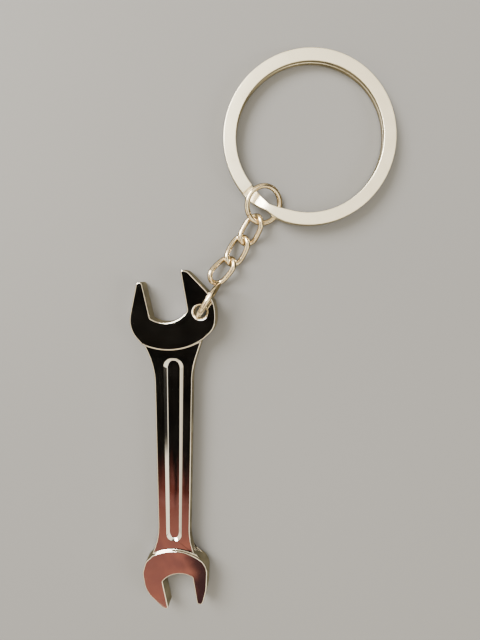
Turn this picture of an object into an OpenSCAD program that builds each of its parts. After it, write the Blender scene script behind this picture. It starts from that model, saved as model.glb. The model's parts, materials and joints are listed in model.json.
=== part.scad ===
// Keyring charm: a small double open-ended spanner, hung by an eye ring and
// three twisted curb links from a jump ring and a flat split ring.
// It lies at rest on a level surface at z = 0, spanner along Y.

/* [Spanner] */
// Thickness of both heads
head_t = 3.2; // [3:0.1:3.4]
// Thickness of the shank, which sits back from both faces of the heads
shank_t = 2; // [1.6:0.1:2.4]
// Half width of the shank where it meets the big head
shank_half_top = 3.55; // [3.3:0.05:3.8]
// Half width of the shank where it meets the small head
shank_half_foot = 3.02; // [2.8:0.02:3.2]
// Width of the big jaw
big_jaw_w = 7; // [6.8:0.05:7.2]
// Width of the small jaw
small_jaw_w = 6; // [5.8:0.05:6.2]
// Angle of both jaws to the shank
jaw_turn = 13; // [11:0.5:15]
// Depth of the long panel sunk in both faces of the shank
panel_depth = 0.4; // [0.2:0.05:0.6]
// Diameter of the eye in the big head
eye_d = 2.2; // [2.1:0.05:2.3]
// Width of the chamfer round the eye
eye_chamfer = 0.45; // [0.3:0.05:0.5]

/* [Chain] */
// Wire of the links and of both round rings
wire_d = 0.9; // [0.8:0.02:0.9]
// Outside diameter of the eye ring and the jump ring
round_ring_d = 7.4; // [7.3:0.05:7.45]
// Length of a link outside
link_l = 6.4; // [6.3:0.05:6.45]
// Width of a link outside, before it is twisted
link_w = 3.74; // [3.7:0.02:3.8]
// Twist from one end of a link to the other
link_twist = 90; // [86:1:94]

/* [Split ring] */
// Outside diameter of the split ring
split_ring_d = 30; // [29.8:0.1:30.2]
// Width of its flat strip
strip_w = 2.2; // [2:0.05:2.3]
// Thickness of one coil
strip_t = 0.95; // [0.85:0.01:0.96]

/* [Hidden] */

// Largest turn of one straight step along a rounded corner, in degrees
arc_step = 8;
sweep_sides = 12;
// Overlap that keeps cut faces from lying on each other
eps = 0.05;
// Middle of the whole object in plan, which goes to the origin
middle = [15.19, 19.15];

// Where each piece lies: its place, then its turn about X, Y and Z.
// The spanner leans on its left edges, because the eye ring passes under its right side.
spanner_place = [[0, 0, 0.522], [0.15, -4.2, 0]];
eye_ring_place = [[6.29, 27.62, 3.7], [90, 0, 58]];
link_places = [
    [[8.48, 32.77, 1.42], [-3.4, -3.9, -42]],
    [[11.17, 36.36, 1.13], [-0.6, 1.3, -27.7]],
    [[13.64, 40.04, 1.46], [11, -3.4, -28.5]]];
jump_ring_place = [[15.78, 44.46, 2.05], [8.4, 28.4, -8.5]];
split_ring_place = [[23.55, 55.9, 1.54], [-2.1, 0.4, 0]];

// Slit between the two ends of a round ring's wire, in degrees
ring_slit = 2;
eye_ring_slit_turn = 115;
jump_ring_slit_turn = 222;

// Split ring: gap between its two coils, and the angles round the ring where the
// upper coil ends, and where the strip steps down from the upper coil to the lower
coil_gap = 0.05;
coil_end = 220;
step_from = 242;
step_to = 222;
coil_turn_step = 5;

// Big jaw: the middle of its floor, and where its flanks and floor curve meet
big_jaw_floor = [-0.42, 23.5];
big_jaw_foot = 1.3;
big_jaw_dip = -1.7;
// Small jaw, the same
small_jaw_floor = [0.55, -25.3];
small_jaw_foot = 1.03;
small_jaw_dip = -1.3;
// The eye, and the round edges where both heads step up from the shank
eye_at = [5, 25.35];
big_step = [-1.2, 30, 11.7];
small_step = [0.4, -29.3, 8.75];

// A corner is [x, y, radius of the round that replaces it]
function jaw(floor_at, turn, width, foot, dip, foot_r, floor_r) =
    [for (c = [[-width / 2, foot, foot_r], [0, dip, floor_r], [width / 2, foot, foot_r]])
        [floor_at.x + c.x * cos(turn) - c.y * sin(turn),
         floor_at.y + c.x * sin(turn) + c.y * cos(turn),
         c[2]]];

spanner_corners = concat(
    // Left side of the big head, up to the left prong
    [[-shank_half_top, 15, 14], [-5.5, 19, 0.6], [-8.4, 22, 5], [-6.6, 30.5, 0.55], [-5.6, 30.4, 0.45]],
    jaw(big_jaw_floor, jaw_turn, big_jaw_w, big_jaw_foot, big_jaw_dip, 0.5, 5),
    // Right prong, and down the side that carries the eye
    [[1.38, 32.85, 0.35], [2.7, 32.6, 1.5], [7.8, 27.5, 6], [7.8, 22.5, 3.5], [5.2, 20.1, 0.6]],
    [[shank_half_top, 15, 14], [shank_half_foot, -18.3, 12]],
    // Right side of the small head
    [[3.95, -21.2, 0.4], [6.6, -22.7, 3.2], [6.45, -28, 8], [5.7, -31.1, 0.65], [4.6, -31.1, 0.5]],
    jaw(small_jaw_floor, 180 + jaw_turn, small_jaw_w, small_jaw_foot, small_jaw_dip, 0.3, 4.5),
    // Left prong of the small head, and back to the shank
    [[-1.02, -32.5, 0.3], [-1.95, -32.6, 0.9], [-5.5, -29.3, 5], [-6.12, -25.5, 3]],
    [[-5.5, -23.15, 2.2], [-4.45, -22.15, 0.4], [-shank_half_foot, -18.3, 12]]);

panel_corners = [[-1.85, 16.7, 1.6], [1.85, 16.7, 1.6], [1.45, -18.8, 1.3], [-1.45, -18.8, 1.3]];

function unit(v) = v / norm(v);

// Points of the round at one corner, between its two neighbours
function round_corner(before, corner, after) =
    let(at = [corner.x, corner.y],
        to_before = unit([before.x, before.y] - at),
        to_after = unit([after.x, after.y] - at),
        half = acos(to_before * to_after) / 2,
        centre = at + unit(to_before + to_after) * corner[2] / sin(half),
        first = at + to_before * corner[2] / tan(half) - centre,
        last = at + to_after * corner[2] / tan(half) - centre,
        start = atan2(first.y, first.x),
        turn = (atan2(last.y, last.x) - start + 540) % 360 - 180,
        steps = ceil(abs(turn) / arc_step))
    [for (i = [0:steps])
        centre + corner[2] * [cos(start + turn * i / steps), sin(start + turn * i / steps)]];

function rounded(corners) =
    let(n = len(corners))
    [for (i = [0:n - 1]) each round_corner(corners[(i + n - 1) % n], corners[i], corners[(i + 1) % n])];

// A solid swept through rings of points, all with the same number of points.
// A closed sweep joins its last ring to its first; an open one has flat ends.
module sweep(rings, closed) {
    n = len(rings);
    m = len(rings[0]);
    last = closed ? n - 1 : n - 2;
    sides = [for (i = [0:last], j = [0:m - 1])
        let(a = i * m, b = (i + 1) % n * m, k = (j + 1) % m)
        each [[a + j, b + j, b + k], [a + j, b + k, a + k]]];
    ends = closed ? [] : [[for (j = [0:m - 1]) j], [for (j = [m - 1:-1:0]) (n - 1) * m + j]];
    polyhedron(points = [for (r = rings) each r], faces = concat(sides, ends));
}

module spanner() {
    color("silver")
        lay(spanner_place) translate([0, 0, head_t / 2])
            difference() {
                linear_extrude(head_t, center = true) polygon(rounded(spanner_corners));
                for (side = [-1, 1]) {
                    translate([0, 0, side * shank_t]) shank_cut();
                    translate([0, 0, side * (shank_t / 2)])
                        linear_extrude(2 * panel_depth, center = true) polygon(rounded(panel_corners));
                }
                translate([eye_at.x, eye_at.y, 0]) eye();
            }
}

// What is cut from one face between the heads, up to their round steps
module shank_cut() {
    difference() {
        translate([0, (big_step.y + small_step.y) / 2, 0])
            cube([4 * big_jaw_w, big_step.y - small_step.y, shank_t], center = true);
        for (step = [big_step, small_step])
            translate([step.x, step.y, 0]) cylinder(h = 2 * shank_t, r = step[2], center = true, $fn = 96);
    }
}

// The bore and its two chamfers, to be cut away
module eye() {
    cylinder(h = head_t + 1, d = eye_d, center = true, $fn = 64);
    for (side = [0, 180])
        rotate([side, 0, 0]) translate([0, 0, head_t / 2 - eye_chamfer])
            cylinder(h = eye_chamfer + eps, d1 = eye_d, d2 = eye_d + 2 * (eye_chamfer + eps), $fn = 64);
}

// A ring of round wire about its own Z axis, with the fine slit where its ends meet
module round_ring(slit_turn) {
    rotate_extrude(angle = 360 - ring_slit, start = slit_turn + ring_slit / 2, $fn = 96)
        translate([(round_ring_d - wire_d) / 2, 0]) circle(d = wire_d, $fn = 48);
}

// One curb link along Y: an oval of wire, twisted about its own length
link_half_l = (link_l - wire_d) / 2;
link_half_w = (link_w - wire_d) / 2;
link_arc_steps = 14;
link_side_steps = 6;

// Centreline of the flat oval, anticlockwise from the foot of its right side
function oval() =
    let(side = link_half_l - link_half_w)
    concat(
        [for (i = [0:link_side_steps - 1]) [link_half_w, side * (2 * i / link_side_steps - 1)]],
        [for (i = [0:link_arc_steps - 1]) let(a = 180 * i / link_arc_steps)
            [link_half_w * cos(a), side + link_half_w * sin(a)]],
        [for (i = [0:link_side_steps - 1]) [-link_half_w, side * (1 - 2 * i / link_side_steps)]],
        [for (i = [0:link_arc_steps - 1]) let(a = 180 * i / link_arc_steps)
            [-link_half_w * cos(a), -side - link_half_w * sin(a)]]);

function twisted(p) =
    let(a = link_twist / 2 * p.y / link_half_l)
    [p.x * cos(a), p.y, p.x * sin(a)];

// Rings of points round the wire at every point of the centreline
function link_rings() =
    let(flat = oval(), line = [for (p = flat) twisted(p)], n = len(line))
    [for (i = [0:n - 1])
        let(along = unit(line[(i + 1) % n] - line[(i + n - 1) % n]),
            lean = link_twist / 2 * flat[i].y / link_half_l,
            out = unit(cross(along, [-sin(lean), 0, cos(lean)])),
            up = cross(out, along))
        [for (j = [0:sweep_sides - 1]) let(a = 360 * j / sweep_sides)
            line[i] + wire_d / 2 * (cos(a) * out + sin(a) * up)]];

module link(place) {
    color("gainsboro") lay(place) sweep(link_rings(), true);
}

// Split ring: a flat strip that runs twice round, stepping down once on the way
coil_run = 360 - step_from + coil_end;
whole_run = 2 * coil_run + step_from - step_to;

// Height of the strip's middle after a run of so many degrees from the upper end
function strip_z(run) =
    let(t = min(1, max(0, (run - coil_run) / (step_from - step_to))))
    (strip_t + coil_gap) * (0.5 - t * t * (3 - 2 * t));

function strip_ring(run) =
    let(a = coil_end - run, r = split_ring_d / 2, z = strip_z(run))
    [for (c = [[-strip_w, -0.5], [0, -0.5], [0, 0.5], [-strip_w, 0.5]])
        [(r + c.x) * cos(a), (r + c.x) * sin(a), z + c.y * strip_t]];

module split_ring() {
    steps = round(whole_run / coil_turn_step);
    color("whitesmoke")
        lay(split_ring_place) sweep([for (i = [0:steps]) strip_ring(whole_run * i / steps)], false);
}

module eye_ring() {
    color("gainsboro") lay(eye_ring_place) round_ring(eye_ring_slit_turn);
}

module jump_ring() {
    color("gainsboro") lay(jump_ring_place) round_ring(jump_ring_slit_turn);
}

// Lays a piece where it rests
module lay(place) {
    translate([-middle.x, -middle.y, 0]) translate(place[0]) rotate(place[1]) children();
}

spanner();
eye_ring();
link(link_places[0]);  // link_1
link(link_places[1]);  // link_2
link(link_places[2]);  // link_3
jump_ring();
split_ring();
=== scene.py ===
# %% [markdown]
# # A spanner keyring charm
# The charm is a small double open-ended spanner in mirror chrome. An eye ring of
# round wire goes through its big head, three twisted curb links follow, and a
# jump ring hangs them from a flat split ring. All of it is metal, and all of it
# is smooth, so the picture depends on two things: the rounded edges that catch
# the light, and what the polished faces have to reflect.
#
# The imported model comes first. It fixes every size and every place in metres, and
# nothing below moves it.

# %% Frame
import json
from math import cos, pi, radians

import bpy
from mathutils import Matrix, Vector

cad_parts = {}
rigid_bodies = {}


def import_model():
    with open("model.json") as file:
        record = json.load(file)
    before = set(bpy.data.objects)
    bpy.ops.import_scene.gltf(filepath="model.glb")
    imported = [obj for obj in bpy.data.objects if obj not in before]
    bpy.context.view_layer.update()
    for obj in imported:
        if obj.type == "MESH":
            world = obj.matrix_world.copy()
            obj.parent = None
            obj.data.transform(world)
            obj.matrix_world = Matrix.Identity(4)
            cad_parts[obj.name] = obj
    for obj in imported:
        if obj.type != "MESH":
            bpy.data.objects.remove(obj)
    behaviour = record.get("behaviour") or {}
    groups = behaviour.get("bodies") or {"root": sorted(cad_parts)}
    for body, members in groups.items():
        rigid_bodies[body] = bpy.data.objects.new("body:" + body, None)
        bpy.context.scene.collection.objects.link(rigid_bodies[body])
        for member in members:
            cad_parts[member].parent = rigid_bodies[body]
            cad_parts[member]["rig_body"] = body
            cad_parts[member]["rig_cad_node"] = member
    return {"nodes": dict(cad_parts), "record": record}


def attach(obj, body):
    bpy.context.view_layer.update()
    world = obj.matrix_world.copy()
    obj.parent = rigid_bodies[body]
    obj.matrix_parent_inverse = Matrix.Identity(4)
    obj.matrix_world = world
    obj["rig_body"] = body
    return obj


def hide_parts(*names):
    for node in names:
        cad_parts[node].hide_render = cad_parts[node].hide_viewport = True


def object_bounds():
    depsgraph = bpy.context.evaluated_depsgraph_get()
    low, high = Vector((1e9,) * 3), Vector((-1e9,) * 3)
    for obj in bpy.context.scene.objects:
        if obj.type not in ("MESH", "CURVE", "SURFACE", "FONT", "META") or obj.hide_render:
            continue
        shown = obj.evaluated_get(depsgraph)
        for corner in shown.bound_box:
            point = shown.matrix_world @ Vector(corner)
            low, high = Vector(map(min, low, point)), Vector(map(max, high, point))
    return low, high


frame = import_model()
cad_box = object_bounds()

mm = 0.001
print("packed model, in mm:", [round(side / mm, 1) for side in cad_box[1] - cad_box[0]])

# %% [markdown]
# ## Camera
# The view is from close above, a little short of straight down, with a moderately
# wide lens: the charm is 104 mm long and the lens hangs 89 mm over the table. The
# camera is set first, because every piece is judged through it.

# %% Camera
camera_height = 89 * mm
camera_over = Vector((-1.12, 14.77)) * mm
camera_turn = (radians(-6.61), radians(1.54), radians(0.745))

bpy.ops.object.camera_add(location=(*camera_over, camera_height), rotation=camera_turn)
camera = bpy.context.active_object
camera.data.lens = 27
camera.data.sensor_width = 36
camera.data.clip_start = 5 * mm
bpy.context.scene.camera = camera
print("camera", round(camera_height / mm), "mm above the table")

# %% [markdown]
# ## Table
# The table is one plain pale sheet, far larger than the charm, so that no edge of
# it shows beside it.

# %% Table
def clear_selection():
    """Leaves edit mode and deselects everything, since an operator acts on all that is selected."""
    if bpy.context.mode != "OBJECT":
        bpy.ops.object.mode_set(mode="OBJECT")
    bpy.ops.object.select_all(action="DESELECT")


table_side = 3
clear_selection()
bpy.ops.mesh.primitive_plane_add(size=table_side)
table = bpy.context.active_object
table.name = "table"
print("the table is", table_side, "m wide")

# %% [markdown]
# ## Finishes
# Shader maths reads best as ordinary maths, so a small class wraps one output
# socket and overloads the operators. A finish is a material with one method that
# adds any node: its kind, its settings, then the values or links of its sockets.

# %% Shader maths
class Signal:
    """One output socket in a finish, with ordinary maths on it."""

    def __init__(self, finish, socket):
        self.finish = finish
        self.socket = socket

    def maths(self, operation, *values):
        return self.finish.node("Math", {"operation": operation}, dict(enumerate(values)))

    def __add__(self, other):
        return self.maths("ADD", self, other)

    def __sub__(self, other):
        return self.maths("SUBTRACT", self, other)

    def __rsub__(self, other):
        return self.maths("SUBTRACT", other, self)

    def __mul__(self, other):
        return self.maths("MULTIPLY", self, other)

    __radd__ = __add__
    __rmul__ = __mul__

    def most(self, other):
        return self.maths("MAXIMUM", self, other)

    def between(self, low, high):
        """0 below low, 1 above high, and smooth between them."""
        return self.finish.node("MapRange", {"interpolation_type": "SMOOTHSTEP"},
                                {"Value": self, "From Min": low, "From Max": high})


class Finish:
    """A material or a world, made one node at a time."""

    # A Mix node keeps a set of sockets for each kind of data. These are the colour ones.
    mix_inputs = (0, 6, 7)
    mix_output = 2

    def __init__(self, name, world=None):
        self.data = world or bpy.data.materials.new(name)
        self.data.use_nodes = True
        self.nodes = self.data.node_tree.nodes
        self.links = self.data.node_tree.links
        self.nodes.clear()

    def node(self, kind, settings=None, sockets=None, output=0):
        """Adds a node, and gives its output as a signal if it has one."""
        made = self.nodes.new("ShaderNode" + kind)
        for name, value in (settings or {}).items():
            if name == "stops":
                self.set_stops(made.color_ramp, value)
            else:
                setattr(made, name, value)
        for name, value in (sockets or {}).items():
            self.feed(made.inputs[name], value)
        return Signal(self, made.outputs[output]) if made.outputs else made

    def feed(self, socket, value):
        """Links a signal to a socket, or sets the socket to a plain value."""
        if isinstance(value, Signal):
            self.links.new(value.socket, socket)
        else:
            socket.default_value = value

    @staticmethod
    def set_stops(ramp, stops):
        while len(ramp.elements) < len(stops):
            ramp.elements.new(1)
        for element, (place, colour) in zip(ramp.elements, stops):
            element.position = place
            element.color = (*colour, 1)

    def place(self, turn=(0, 0, 0), stretch=(1, 1, 1)):
        """Object coordinates, turned and stretched."""
        object_place = self.node("TexCoord", output="Object")
        return self.node("Mapping", {}, {"Vector": object_place, "Rotation": turn, "Scale": stretch})

    def axes(self, vector, names):
        """The named axes of a vector, each as a signal."""
        return [self.node("SeparateXYZ", {}, {"Vector": vector}, output=name) for name in names]

    def noise(self, size, detail=2, where=None, distortion=0):
        """Soft noise whose features are about one size across."""
        return self.node("TexNoise", {}, {"Vector": where or self.place(), "Scale": 1 / size,
                                          "Detail": detail, "Distortion": distortion})

    def mix(self, factor, first, second):
        """The first colour where the factor is 0, the second where it is 1."""
        mixed = self.node("Mix", {"data_type": "RGBA"}, output=self.mix_output)
        factor_in, first_in, second_in = (mixed.socket.node.inputs[i] for i in self.mix_inputs)
        self.feed(factor_in, factor)
        for socket, colour in ((first_in, first), (second_in, second)):
            self.feed(socket, colour if isinstance(colour, Signal) else (*colour, 1))
        return mixed

    def bump(self, height, distance, over=None):
        """A normal bent by a height, starting from another normal if there is one."""
        sockets = {"Height": height, "Distance": distance}
        if over:
            sockets["Normal"] = over
        return self.node("Bump", {}, sockets)

    def metal(self, colour, roughness, normal):
        """Closes the finish as bare metal."""
        shader = self.node("BsdfPrincipled", {}, {"Metallic": 1.0, "Base Color": colour,
                                                  "Roughness": roughness, "Normal": normal})
        self.node("OutputMaterial", {}, {"Surface": shader})
        return self.data


print("shader maths ready")

# %% [markdown]
# The table is matt. A faint change of shade over it and a fine grain keep it from
# looking like an empty background, and neither is strong enough to draw the eye.

# %% Table finish
def table_finish():
    sheet = Finish("pale_table")
    grain = sheet.noise(1.5 * mm, detail=3)
    shade = sheet.mix(sheet.noise(90 * mm, detail=1), (0.134, 0.134, 0.134), (0.152, 0.152, 0.151))
    shader = sheet.node("BsdfPrincipled", {}, {"Base Color": shade, "Roughness": 0.75,
                                               "Normal": sheet.bump(grain, 0.02 * mm)})
    sheet.node("OutputMaterial", {}, {"Surface": shader})
    return sheet.data


table.data.materials.append(table_finish())
print("table finish:", table.data.materials[0].name)

# %% [markdown]
# ## Room and light
# Chrome has next to no colour of its own, so it needs a room to mirror. This room
# is a world shader: a colour for each height of the gaze, from the horizon up to
# straight overhead, in cream. Masks in it can be put just where a wall of the
# charm looks. The side beyond the charm's right is in shade, so one wall of the
# panel stays dark while the other is lit, and so is the far end, where a few small
# walls look.

# %% Room
def room():
    world = bpy.data.worlds.new("room")
    bpy.context.scene.world = world
    air = Finish("room", world)
    right, away, height = air.axes(air.node("TexCoord", output="Generated"), "XYZ")
    cream = air.node("ValToRGB", {"stops": [(0.0, (0.60, 0.52, 0.40)), (0.12, (1.20, 1.04, 0.74)),
                                            (0.5, (1.20, 1.06, 0.78)), (1.0, (1.60, 1.47, 1.18))]},
                     {"Fac": height})
    shaded_right = right.between(0.35, 0.75) * away.between(-0.39, -0.34) * (1 - height.between(0.60, 0.72))
    shaded_end = away.between(0.60, 0.78) * height.between(0.30, 0.45)
    colour = air.mix(shaded_right.most(shaded_end), cream, (0.022, 0.020, 0.017))
    background = air.node("Background", {}, {"Color": colour, "Strength": 1.45})
    air.node("OutputWorld", {}, {"Surface": background})
    print("the room has", len(air.nodes), "nodes")


room()

# %% [markdown]
# Two area lights make the soft studio light. The window at the left is large, and
# the rounded edges and the wire mirror it as their glints. The fill at the right
# only lifts the shadows, so reflections don't see it.

# %% Lights
middle = (cad_box[0] + cad_box[1]) / 2


def soft_light(name, place, size, power, colour, shows):
    """A square light aimed at the middle of the charm."""
    clear_selection()
    bpy.ops.object.light_add(type="AREA", location=place)
    light = bpy.context.active_object
    light.name = name
    light.rotation_euler = (Vector(middle) - Vector(place)).to_track_quat("-Z", "Y").to_euler()
    light.data.shape = "RECTANGLE"
    light.data.size = light.data.size_y = size
    light.data.energy = power
    light.data.color = colour
    light.visible_glossy = shows
    print(name, "light:", power, "W")


soft_light("window", (-0.34, 0.30, 0.42), 0.34, 12.0, (1.0, 0.97, 0.92), shows=True)
soft_light("fill", (0.45, -0.10, 0.30), 0.25, 3.0, (1.0, 0.95, 0.88), shows=False)

# %% [markdown]
# A card is a plane with a glow, hidden from everything but glossy rays. It stands
# for what leans over a small object when it is looked at from close by. The one
# overhead is nearly black where the big head and the upper shank look, and turns a
# rosy brown further down, in streaks, for the lower shank and the small head. The
# other lies just under the table, which glossy rays pass through, so polished
# walls look down into something dark.

# %% Cards
def card(name, low, high, height, finish):
    """A level plane between two corners that only glossy rays see."""
    clear_selection()
    centre = ((low[0] + high[0]) / 2, (low[1] + high[1]) / 2, height)
    bpy.ops.mesh.primitive_plane_add(size=1, location=centre)
    made = bpy.context.active_object
    made.name = name
    made.dimensions = (high[0] - low[0], high[1] - low[1], 0)
    bpy.ops.object.transform_apply(location=True, rotation=True, scale=True)
    made.data.materials.append(finish)
    made.visible_camera = False
    made.visible_diffuse = False
    made.visible_shadow = False
    made.visible_transmission = False
    made.visible_volume_scatter = False


def glow(card_finish, colour):
    """Closes a card's finish as a plain glow."""
    shader = card_finish.node("Emission", {}, {"Color": colour, "Strength": 1.0})
    card_finish.node("OutputMaterial", {}, {"Surface": shader})
    return card_finish.data


def overhead_glow():
    """Black turning rosy brown along -Y, with a dark patch at the right of the brown end."""
    over = Finish("overhead_card")
    x, y = over.axes(over.place(), "XY")
    down = 0 - y
    streaks = over.noise(1, where=over.place(stretch=(1 / (2.2 * mm), 1 / (70 * mm), 1)))
    blotches = over.noise(16 * mm, detail=3, distortion=0.8).between(0.3, 0.7)
    warmth = (down + (streaks - 0.5) * (44 * mm) - x * 0.25).between(75 * mm, 103 * mm)
    brown = over.mix(down.between(80 * mm, 112 * mm), (0.19, 0.045, 0.030), (0.56, 0.185, 0.120))
    rosy = over.mix(blotches, brown, (0.34, 0.120, 0.095))
    patch_side = (x + (blotches - 0.5) * (6 * mm)).between(-43 * mm, -37 * mm)
    patch = patch_side * down.between(92 * mm, 100 * mm)
    patched = over.mix(patch * 0.9, rosy, (0.030, 0.016, 0.020))
    black = over.mix(blotches, (0.004, 0.0035, 0.003), (0.010, 0.008, 0.006))
    return glow(over, over.mix(warmth, black, patched))


def under_glow():
    """A mottled brown, darker than the lit table."""
    under = Finish("under_table")
    return glow(under, under.mix(under.noise(2.5 * mm), (0.035, 0.030, 0.018), (0.30, 0.25, 0.15)))


card_height = 105 * mm
card("overhead_card", (-74 * mm, -136 * mm), (-6 * mm, 26 * mm), card_height, overhead_glow())
table_half = table_side / 2
card("under_table", (-table_half, -table_half), (table_half, table_half), -0.3 * mm, under_glow())
table.visible_glossy = False
print("the overhead card hangs", round(card_height / mm), "mm up")

# %% [markdown]
# ## Chrome, wire and ring finishes
# The spanner is plated and polished: mirror smooth, with a trace of waviness left
# by the wheel and a few hairlines from life in a pocket. The wire of the links is
# duller, with a warm tint and drawing marks. The split ring is tumbled bright, so
# its highlights are soft and wide. All three are bare metal, and differ in tint,
# in roughness and in what bends their normals.

# %% Chrome
def hairlines(finish, turn, width, length):
    """Fine straight marks in one direction, 0 where there is none."""
    run = finish.place(turn=(0, 0, turn), stretch=(1 / width, 1 / length, 1 / width))
    return finish.noise(1, where=run).between(0.66, 0.72)


def mirror_chrome(name, colour, worn):
    """Plated mirror. The more worn it is, the rougher its haze and its hairlines."""
    chrome = Finish(name)
    marks = hairlines(chrome, 0.35, 0.05 * mm, 2.5 * mm).most(hairlines(chrome, -0.9, 0.04 * mm, 1.8 * mm))
    haze = chrome.noise(4 * mm, detail=3).between(0.35, 0.75)
    tint = chrome.mix(haze, colour, tuple(0.94 * part for part in colour))
    roughness = haze * (0.04 * worn) + marks * (0.04 * worn) + 0.03
    waves = chrome.bump(chrome.noise(6 * mm, detail=1), 0.012 * mm)
    return chrome.metal(tint, roughness, chrome.bump(marks, 0.0002 * mm, over=waves))


chrome_face = mirror_chrome("mirror_chrome", (0.80, 0.78, 0.75), 1.0)
# The edge finish is rougher, as worn plating is, and its paler, creamier tint is a painted highlight on the
# rounded edges.
chrome_edge_wear_and_highlight = mirror_chrome("worn_chrome_edge", (0.93, 0.87, 0.76), 3.0)
print("chrome:", chrome_face.name, "and", chrome_edge_wear_and_highlight.name)

# %% Wire and ring
def bright_wire(name):
    wire = Finish(name)
    drawn = wire.noise(0.35 * mm, detail=3)
    haze = wire.noise(1.8 * mm, detail=2).between(0.3, 0.7)
    tint = wire.mix(haze, (0.98, 0.86, 0.62), (0.74, 0.59, 0.38))
    roughness = 0.12 + haze * 0.14 + drawn * 0.06
    return wire.metal(tint, roughness, wire.bump(drawn, 0.010 * mm))


def tumbled_nickel(name):
    nickel = Finish(name)
    grain = nickel.noise(0.22 * mm, detail=3)
    haze = nickel.noise(3 * mm, detail=2).between(0.3, 0.7)
    tint = nickel.mix(haze, (0.97, 0.90, 0.72), (0.87, 0.80, 0.62))
    roughness = 0.24 + haze * 0.10 + grain * 0.06
    return nickel.metal(tint, roughness, nickel.bump(grain, 0.004 * mm))


wire_finish = bright_wire("warm_nickel_wire")
ring_finish = tumbled_nickel("tumbled_nickel")
print("nickel:", wire_finish.name, "and", ring_finish.name)

# %% [markdown]
# ## Working from the frame
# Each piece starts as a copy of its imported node, so its place is never in doubt.
# The copy arrives as loose triangles: merging its points joins them up, and each
# piece then gets its larger faces back in its own way. After that it is shaped in
# edit mode, where an operator acts on whatever a test has selected.

# %% Copies
def pick(piece):
    """Selects one object, and makes it the active one."""
    clear_selection()
    piece.select_set(True)
    bpy.context.view_layer.objects.active = piece


def copy_of(node, name):
    """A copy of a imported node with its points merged, riding on nothing yet."""
    pick(frame["nodes"][node])
    bpy.ops.object.duplicate()
    piece = bpy.context.active_object
    piece.parent = None
    piece.name = name
    piece.data.name = name
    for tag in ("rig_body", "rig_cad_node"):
        del piece[tag]
    piece.data.materials.clear()
    bpy.ops.object.mode_set(mode="EDIT")
    bpy.ops.mesh.select_all(action="SELECT")
    bpy.ops.mesh.remove_doubles(threshold=0.001 * mm)
    bpy.ops.object.mode_set(mode="OBJECT")
    bpy.ops.mesh.customdata_custom_splitnormals_clear()
    return piece


def select(piece, kind, test):
    """Selects the faces, edges or points of a piece that pass a test, and stays in edit mode."""
    pick(piece)
    bpy.context.tool_settings.mesh_select_mode = (kind == "vertices", kind == "edges", kind == "polygons")
    bpy.ops.object.mode_set(mode="EDIT")
    bpy.ops.mesh.select_all(action="DESELECT")
    bpy.ops.object.mode_set(mode="OBJECT")
    chosen = [part for part in getattr(piece.data, kind) if test(part)]
    for part in chosen:
        part.select = True
    bpy.ops.object.mode_set(mode="EDIT")
    return len(chosen)


print("nodes to work from:", sorted(frame["nodes"]))

# %% [markdown]
# Some pieces lie at a slant, and are easier to shape when they are level. The
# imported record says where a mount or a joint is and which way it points, and from
# that comes the matrix that lays a level shape in its true place. Its inverse
# brings the shape level first.

# %% Places from the record
def named(entries, name):
    """The entry with this name in one of the record's lists."""
    return next(entry for entry in entries if entry["name"] == name)


def lying(place, up):
    """The matrix that lays a level shape at a place, with its Z axis up and its Y axis onward."""
    up = up.normalized()
    along = (Vector((0, 1, 0)) - up * up.y).normalized()
    matrix = Matrix((along.cross(up), along, up)).transposed().to_4x4()
    matrix.translation = place
    return matrix


# %% [markdown]
# A polished edge is never sharp, and its fine round is the bright line that draws
# the piece. A bevel with a few segments rounds every edge sharper than an angle.
# Weighted normals then lean on the large faces, so those stay as flat as they are.

# %% Rounded edges
def apply_modifiers(piece):
    pick(piece)
    for modifier in list(piece.modifiers):
        bpy.ops.object.modifier_apply(modifier=modifier.name)


def round_edges(piece, width, over, second_slot=-1):
    """Rounds every edge sharper than an angle, and leaves marked edges crisp."""
    pick(piece)
    bpy.ops.object.shade_smooth()
    edges = piece.modifiers.new("edges", "BEVEL")
    edges.width = width
    edges.segments = 3
    edges.profile = 0.45
    edges.limit_method = "ANGLE"
    edges.angle_limit = radians(over)
    edges.use_clamp_overlap = False
    edges.miter_outer = "MITER_ARC"
    edges.material = second_slot
    flats = piece.modifiers.new("flats", "WEIGHTED_NORMAL")
    flats.weight = 100
    flats.keep_sharp = True
    apply_modifiers(piece)


print("rounding ready")

# %% [markdown]
# A finished piece takes its material, rides on the body of its node, and stands in
# for that node, which stays in the physics model but is no longer seen.

# %% Hand-over of a piece
def triangles(piece):
    return sum(len(face.vertices) - 2 for face in piece.data.polygons)


def finish_piece(piece, node, slot, *materials):
    """Gives a piece its finish and its body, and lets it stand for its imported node."""
    for material in materials:
        piece.data.materials.append(material)
    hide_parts(node)
    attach(piece, node)
    print(piece.name, "has", triangles(piece), "triangles")


print("pieces to make:", len(frame["nodes"]))

# %% [markdown]
# ## The spanner
# One casting, polished and plated. Building it anew from primitives would only
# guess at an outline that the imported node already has, so the copy is used. It
# lies tilted, and is turned level first, about the mount on the back of its small
# head. Level, its faces sit at known heights: the heads at half of 3.2 mm, the
# shank at half of 2.0 mm, and the panel 0.4 mm below that. Dissolving flat areas
# gives back the faces that a maker would see.

# %% Spanner, laid level
head_half = 1.6 * mm
shank_half = 1.0 * mm
panel_half = 0.6 * mm

back = named(frame["record"]["mounts"], "small_head_back")
level = lying(Vector(back["pos_m"]) - Vector(back["axis"]) * head_half, -Vector(back["axis"]))

spanner = copy_of("spanner", "spanner_chrome")
spanner.data.transform(level.inverted())
select(spanner, "polygons", lambda face: True)
bpy.ops.mesh.dissolve_limited(angle_limit=radians(1))
print("spanner faces when level:", len(spanner.data.polygons))

# %% [markdown]
# The panel's walls slope, as a casting's do so that it leaves its mould. Both
# floors are picked by their height and drawn in sideways about the shank's middle.
# Where wall and floor meet the polish leaves a hollow, which a bevel makes, and
# the rim stays crisp: its edges are marked sharp.

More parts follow.
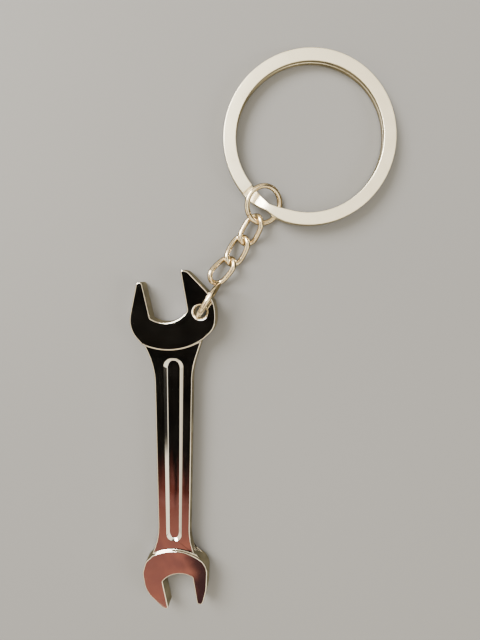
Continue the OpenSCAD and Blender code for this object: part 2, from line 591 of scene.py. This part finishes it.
# %% Spanner panels
def all_at(part, height):
    """True where a face's or edge's points all lie this far from the spanner's middle plane."""
    return all(abs(abs(spanner.data.vertices[i].co.z) - height) < 0.02 * mm for i in part.vertices)


floor_width, floor_length = 0.66, 0.975
floor_hollow = 0.08 * mm

for side in (1, -1):
    floors = select(spanner, "polygons",
                    lambda face: all_at(face, panel_half) and face.normal.z * side > 0.9)
    floor_points = [spanner.data.vertices[i].co.copy() for face in spanner.data.polygons if face.select
                    for i in face.vertices]
    middle_x = (min(p.x for p in floor_points) + max(p.x for p in floor_points)) / 2
    middle_y = (min(p.y for p in floor_points) + max(p.y for p in floor_points)) / 2
    bpy.ops.transform.resize(value=(floor_width, floor_length, 1),
                             center_override=(middle_x, middle_y, side * panel_half))
    bpy.ops.mesh.select_mode(type="EDGE")
    bpy.ops.mesh.region_to_loop()
    bpy.ops.mesh.bevel(offset=floor_hollow, segments=3, profile=0.5)
    print("panel floor faces:", floors)

# %% Spanner panel rims
rim_across = 2.2 * mm
rim_along = max(p.y for p in floor_points) - middle_y + 1.3 * mm


def round_the_panel(edge):
    """True for an edge in a shank face that runs round the panel, and not along the shank's side."""
    ends = [spanner.data.vertices[i].co for i in edge.vertices]
    return all_at(edge, shank_half) and all(
        abs(end.x - middle_x) < rim_across and abs(end.y - middle_y) < rim_along for end in ends)


rim = select(spanner, "edges", round_the_panel)
bpy.ops.mesh.mark_sharp()
bpy.ops.object.mode_set(mode="OBJECT")
print("edges along the rims:", rim)

# %% [markdown]
# The rounded edges go in a second slot, rougher where the plating is worn, and
# paler and creamier as a painted highlight that brightens the lines along the
# edges. The large flat faces then keep exactly their own normals, since a mirror
# shows the least sag, and the spanner is laid back where it belongs.

# %% Spanner edges
spanner.data.materials.append(chrome_face)
spanner.data.materials.append(chrome_edge_wear_and_highlight)
round_edges(spanner, 0.18 * mm, over=50, second_slot=1)
large = 2.5 * mm ** 2
flats = select(spanner, "polygons", lambda face: face.area > large and abs(face.normal.z) > 0.99)
bpy.ops.mesh.set_normals_from_faces(keep_sharp=True)
bpy.ops.object.mode_set(mode="OBJECT")
print("flat faces held flat:", flats)
spanner.data.transform(level)
finish_piece(spanner, "spanner", "polished_chrome")

# %% [markdown]
# ## The links
# Each link is one length of round wire, bent to an oval, closed with a butt joint
# and twisted a quarter turn, so that the chain lies flat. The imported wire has
# twelve sides. Subdividing the copy makes it round, and a slight fattening gives
# back what that shrinks: a ring of points ends up at (2 + cos(step)) / 3 of its
# radius, where the step is the angle between two of them.

# %% Links
wire_r = 0.45 * mm
wire_sides = 12
shrunk = (2 + cos(radians(360 / wire_sides))) / 3


def smooth_wire(node, name):
    piece = copy_of(node, name)
    select(piece, "polygons", lambda face: True)
    bpy.ops.mesh.tris_convert_to_quads(face_threshold=pi, shape_threshold=pi)
    bpy.ops.object.mode_set(mode="OBJECT")
    rounder = piece.modifiers.new("rounder", "SUBSURF")
    rounder.levels = rounder.render_levels = 2
    apply_modifiers(piece)
    select(piece, "polygons", lambda face: True)
    bpy.ops.transform.shrink_fatten(value=wire_r * (1 - shrunk))
    bpy.ops.mesh.faces_shade_smooth()
    bpy.ops.object.mode_set(mode="OBJECT")
    return piece


for node in ("link_1", "link_2", "link_3"):
    finish_piece(smooth_wire(node, node + "_wire"), node, "chain_nickel", wire_finish)

# %% [markdown]
# ## The round rings
# The eye ring and the jump ring are plain hoops of the same wire. A torus would do
# as well, but it would have to be fitted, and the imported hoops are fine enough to
# need only smooth shading.

# %% Round rings
def wire_ring(node, name):
    piece = copy_of(node, name)
    pick(piece)
    bpy.ops.object.shade_smooth_by_angle(angle=radians(40))
    return piece


for node in ("eye_ring", "jump_ring"):
    finish_piece(wire_ring(node, node + "_wire"), node, "chain_nickel", wire_finish)

# %% [markdown]
# ## The split ring
# One flat strip wound twice round. Where it steps from one coil down to the other
# the strip is pinched narrower, most in the middle of the step. The copy is laid
# level about the ring's own axis and turned so that one section of the strip after
# another lies on the X axis, and each section is drawn in there.

# %% Split ring
strip_middle = 13.9 * mm
pinch_from, section_turn, sections = 229.5, 5, 5
pinch_least, pinch_more = 0.55, 0.18


def pinched_strip(node, name):
    piece = copy_of(node, name)
    select(piece, "polygons", lambda face: True)
    bpy.ops.mesh.tris_convert_to_quads(face_threshold=pi, shape_threshold=pi)
    bpy.ops.object.mode_set(mode="OBJECT")
    hub = named(frame["record"]["behaviour"]["joints"], "split_ring_turn")
    lie = lying(Vector(hub["pos_m"]), Vector(hub["axis"]))
    for section in range(sections):
        turned = lie @ Matrix.Rotation(radians(pinch_from + section_turn * section), 4, "Z")
        piece.data.transform(turned.inverted())
        select(piece, "vertices", lambda point: point.co.x > 0 and abs(point.co.y) < 0.5 * mm)
        width = pinch_least + pinch_more * abs(section - sections // 2)
        bpy.ops.transform.resize(value=(width, 1, 1), center_override=(strip_middle, 0, 0))
        bpy.ops.object.mode_set(mode="OBJECT")
        piece.data.transform(turned)
    round_edges(piece, 0.14 * mm, over=40)
    return piece


finish_piece(pinched_strip("split_ring", "split_ring_strip"), "split_ring", "ring_nickel", ring_finish)
